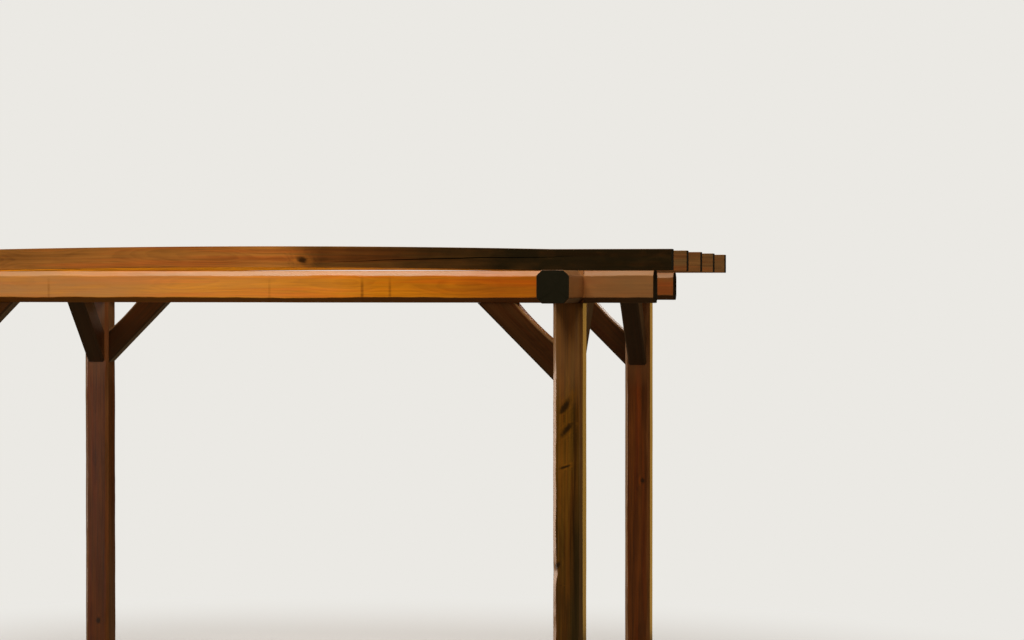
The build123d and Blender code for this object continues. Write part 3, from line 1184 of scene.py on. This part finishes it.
def screw_tree(material):
    """A node tree that puts a screw head on every point, turned at random about its axis."""
    tree = bpy.data.node_groups.new("screw_heads", "GeometryNodeTree")
    add = partial(add_node, tree)
    tree.interface.new_socket("Places", in_out="INPUT", socket_type="NodeSocketGeometry")
    for name, value in screw_inputs().items():
        kind = "NodeSocketInt" if name == "Seed" else "NodeSocketFloat"
        tree.interface.new_socket(name, in_out="INPUT", socket_type=kind).default_value = value
    tree.interface.new_socket("Screws", in_out="OUTPUT", socket_type="NodeSocketGeometry")
    given = add("NodeGroupInput")
    height = given["Head Height"]
    head = add("GeometryNodeMeshCylinder", {
        "Vertices": HEAD_SIDES, "Radius": given["Head Radius"], "Depth": height})["Mesh"]
    drive = add("GeometryNodeMeshCylinder", {
        "Vertices": 6, "Radius": given["Drive Radius"], "Depth": product(add, height, 1.4)})["Mesh"]
    lift = add("ShaderNodeCombineXYZ", {"Z": height})[0]
    raised = add("GeometryNodeTransform", {"Geometry": drive, "Translation": lift})[0]
    cut = add("GeometryNodeMeshBoolean", {"Mesh 1": head, "Mesh 2": raised}, operation="DIFFERENCE")["Mesh"]
    facing = add("GeometryNodeInputNamedAttribute", {"Name": "facing"}, data_type="FLOAT_VECTOR")[0]
    aligned = add("FunctionNodeAlignRotationToVector", {"Vector": facing}, axis="Z")[0]
    placed = add("GeometryNodeInstanceOnPoints", {
        "Points": given["Places"], "Instance": cut, "Rotation": aligned})[0]
    turn = add("FunctionNodeRandomValue", {"Max": math.pi, "Seed": given["Seed"]}, data_type="FLOAT")[1]
    spin = add("ShaderNodeCombineXYZ", {"Z": turn})[0]
    turned = add("GeometryNodeRotateInstances", {
        "Instances": placed, "Rotation": spin, "Local Space": True})[0]
    real = add("GeometryNodeRealizeInstances", {"Geometry": turned})[0]
    painted = add("GeometryNodeSetMaterial", {"Geometry": real, "Material": material})[0]
    add("NodeGroupOutput", {"Screws": painted})
    return tree


class PERGOLA_OT_screws(bpy.types.Operator):
    """Sets the screws that hold the rafters and the braces, from one node tree"""

    bl_idname = "pergola.screws"
    bl_label = "Screws"

    def execute(self, context):
        places = screw_places()
        cloud = bpy.data.meshes.new("screw_places")
        cloud.from_pydata([point for point, _ in places], [], [])
        facing = cloud.attributes.new("facing", "FLOAT_VECTOR", "POINT")
        facing.data.foreach_set("vector", [x for _, way in places for x in way])
        piece = bpy.data.objects.new("screws", cloud)
        context.scene.collection.objects.link(piece)
        modifier = piece.modifiers.new("screw_heads", "NODES")
        modifier.node_group = screw_tree(dull_zinc("dull_zinc_steel"))
        inputs = screw_inputs()
        for item in modifier.node_group.interface.items_tree:
            if item.name in inputs:
                modifier[item.identifier] = inputs[item.name]
        graph = context.evaluated_depsgraph_get()
        made = bpy.data.meshes.new_from_object(piece.evaluated_get(graph), depsgraph=graph)
        piece.modifiers.clear()
        piece.data = made
        made.shade_smooth()
        made.set_sharp_from_angle(angle=SHARP_OVER)
        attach(piece, "root")
        return {"FINISHED"}


# Floor, lamps and camera

def soft_box(name, place, target, size, radiance, colour, seen, only):
    """A rectangular studio lamp that faces a point, as bright all over as radiance says.

    Seen names the reflections that it lights. Only names the kind of wood that it lights, where it
    isn't for all.
    """
    lamp = bpy.data.lights.new(name, "AREA")
    lamp.shape = "RECTANGLE"
    lamp.size, lamp.size_y = size
    lamp.energy = radiance * math.pi * size[0] * size[1]
    lamp.color = linear(colour)
    box = bpy.data.objects.new(name, lamp)
    bpy.context.scene.collection.objects.link(box)
    box.location = place
    box.rotation_mode = "QUATERNION"
    box.rotation_quaternion = (Vector(target) - Vector(place)).to_track_quat("-Z", "Y")
    box.visible_camera = False
    box.visible_diffuse = "diffuse" in seen
    box.visible_glossy = "glossy" in seen
    if only:
        lit = bpy.data.collections.get(f"lit_{only}") or bpy.data.collections.new(f"lit_{only}")
        box.light_linking.receiver_collection = lit


def make_floor(scene, stage):
    """The floor, flat and far wider than the view."""
    mesh = bpy.data.meshes.new("floor")
    points = [(x * FLOOR_REACH, y * FLOOR_REACH, 0) for x, y in ((-1, -1), (1, -1), (1, 1), (-1, 1))]
    mesh.from_pydata(points, [], [(0, 1, 2, 3)])
    floor = bpy.data.objects.new("floor", mesh)
    scene.collection.objects.link(floor)
    mesh.materials.append(floor_paint("pale_floor", stage))


def make_backdrop(scene, stage):
    """The world: a plain backdrop for the camera and a faint warm light for the timbers."""
    scene.world = bpy.data.worlds.new("studio")
    add = empty_nodes(scene.world)
    from_camera = add("ShaderNodeLightPath")["Is Camera Ray"]
    backdrop = add("ShaderNodeBackground", {"Color": stage.backdrop, "Strength": 1.0})[0]
    air = add("ShaderNodeBackground", {"Color": stage.air, "Strength": AIR_STRENGTH})[0]
    add("ShaderNodeOutputWorld", {"Surface": add("ShaderNodeMixShader", (from_camera, air, backdrop))[0]})


def make_camera(scene, stage):
    """The camera, at the photograph's distance and angle from the front right post."""
    camera = bpy.data.objects.new("camera", bpy.data.cameras.new("camera"))
    scene.collection.objects.link(camera)
    scene.camera = camera
    camera.data.lens = stage.lens
    camera.data.sensor_width = 36
    camera.data.clip_end = 200
    forward = Vector((-math.sin(stage.yaw), math.cos(stage.yaw), 0))
    right = Vector((math.cos(stage.yaw), math.sin(stage.yaw), 0))
    camera.location = cad_centre("post_front_right") - forward * stage.distance - right * stage.aside
    camera.location.z = cad_centre("beam_front").z + stage.above_beam
    look = forward * math.cos(stage.pitch) - UP * math.sin(stage.pitch)
    camera.rotation_mode = "QUATERNION"
    camera.rotation_quaternion = look.to_track_quat("-Z", "Y")


class PERGOLA_OT_stage(bpy.types.Operator):
    """Sets the pale floor, the soft lamps and the camera at the photograph's angle"""

    bl_idname = "pergola.stage"
    bl_label = "Floor, lamps and camera"

    def execute(self, context):
        stage = settings("stage")
        make_floor(context.scene, stage)
        make_backdrop(context.scene, stage)
        for lamp in LAMPS:
            soft_box(*lamp)
        make_camera(context.scene, stage)
        context.scene.view_settings.view_transform = "Standard"
        return {"FINISHED"}


class PERGOLA_PT_panel(bpy.types.Panel):
    """Lists the pergola's steps and settings"""

    bl_idname = "PERGOLA_PT_panel"
    bl_label = "Garden pergola"
    bl_space_type = "VIEW_3D"
    bl_region_type = "UI"
    bl_category = "Pergola"

    def draw(self, context):
        column = self.layout.column()
        for step in STEPS:
            column.operator(step.bl_idname)
        for name, group in GROUPS.items():
            box = column.box()
            box.label(text=name.capitalize())
            for key in group.__annotations__:
                box.prop(settings(name), key)


GROUPS = {"timber": PergolaTimber, "stain": PergolaStain, "screws": PergolaScrews, "stage": PergolaStage}
STEPS = (PERGOLA_OT_stage, PERGOLA_OT_posts, PERGOLA_OT_beams, PERGOLA_OT_rafters, PERGOLA_OT_braces,
         PERGOLA_OT_screws)


def register():
    """Adds the classes and the scene's property groups."""
    for item in (*GROUPS.values(), *STEPS, PERGOLA_PT_panel):
        bpy.utils.register_class(item)
    for name, group in GROUPS.items():
        setattr(bpy.types.Scene, f"pergola_{name}", bpy.props.PointerProperty(type=group))


def unregister():
    """Takes them away again."""
    for name in GROUPS:
        delattr(bpy.types.Scene, f"pergola_{name}")
    for item in reversed((*GROUPS.values(), *STEPS, PERGOLA_PT_panel)):
        bpy.utils.unregister_class(item)


def main():
    """Builds the whole pergola.

    The stage comes first, because the lamps say which kinds of wood they light.
    """
    register()
    bpy.ops.pergola.stage()
    bpy.ops.pergola.posts()
    bpy.ops.pergola.beams()
    bpy.ops.pergola.rafters()
    bpy.ops.pergola.braces()
    bpy.ops.pergola.screws()


if __name__ == "__main__":
    main()
